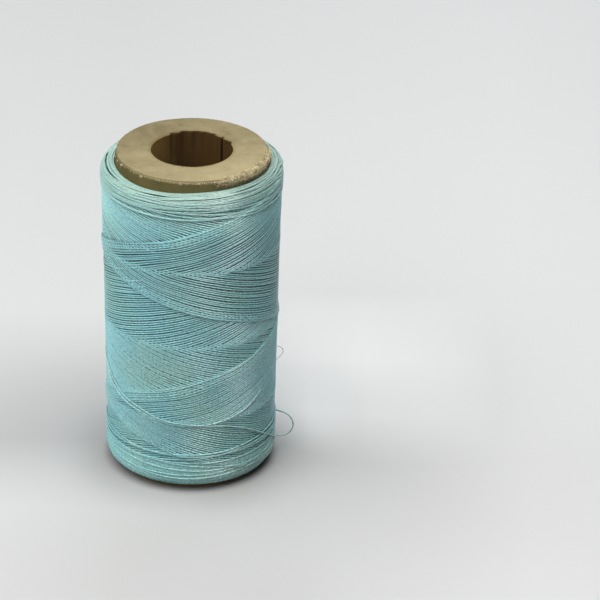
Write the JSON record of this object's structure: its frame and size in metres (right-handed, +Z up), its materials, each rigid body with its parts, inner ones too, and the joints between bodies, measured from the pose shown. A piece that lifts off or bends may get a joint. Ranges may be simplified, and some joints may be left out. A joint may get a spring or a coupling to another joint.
{
  "type": "waxed thread spool",
  "caption": "Waxed sewing thread cross-wound on a thick paper tube, with bare tube at both ends and a loose thread end.",
  "frame": {"origin": "centre of the paper core's lower end face, on the surface that the spool stands on", "axes": "+Z up along the spool's axis, -Y towards the front, where the loose end lies, +X to the right"},
  "size_m": [0.0481, 0.044, 0.0845],
  "materials": {
    "core_bore_ply": "matte",
    "core_board_ply": "matte",
    "core_outer_ply": "matte",
    "thread": "satin",
    "loose_thread": "satin"
  },
  "bodies": {
    "root": {"core_liner": "core_bore_ply", "core_board": "core_board_ply", "core_wrap": "core_outer_ply", "first_layer": "thread", "thread_package": "thread", "outer_turns": "thread", "loose_end": "loose_thread"}
  },
  "joints": []
}
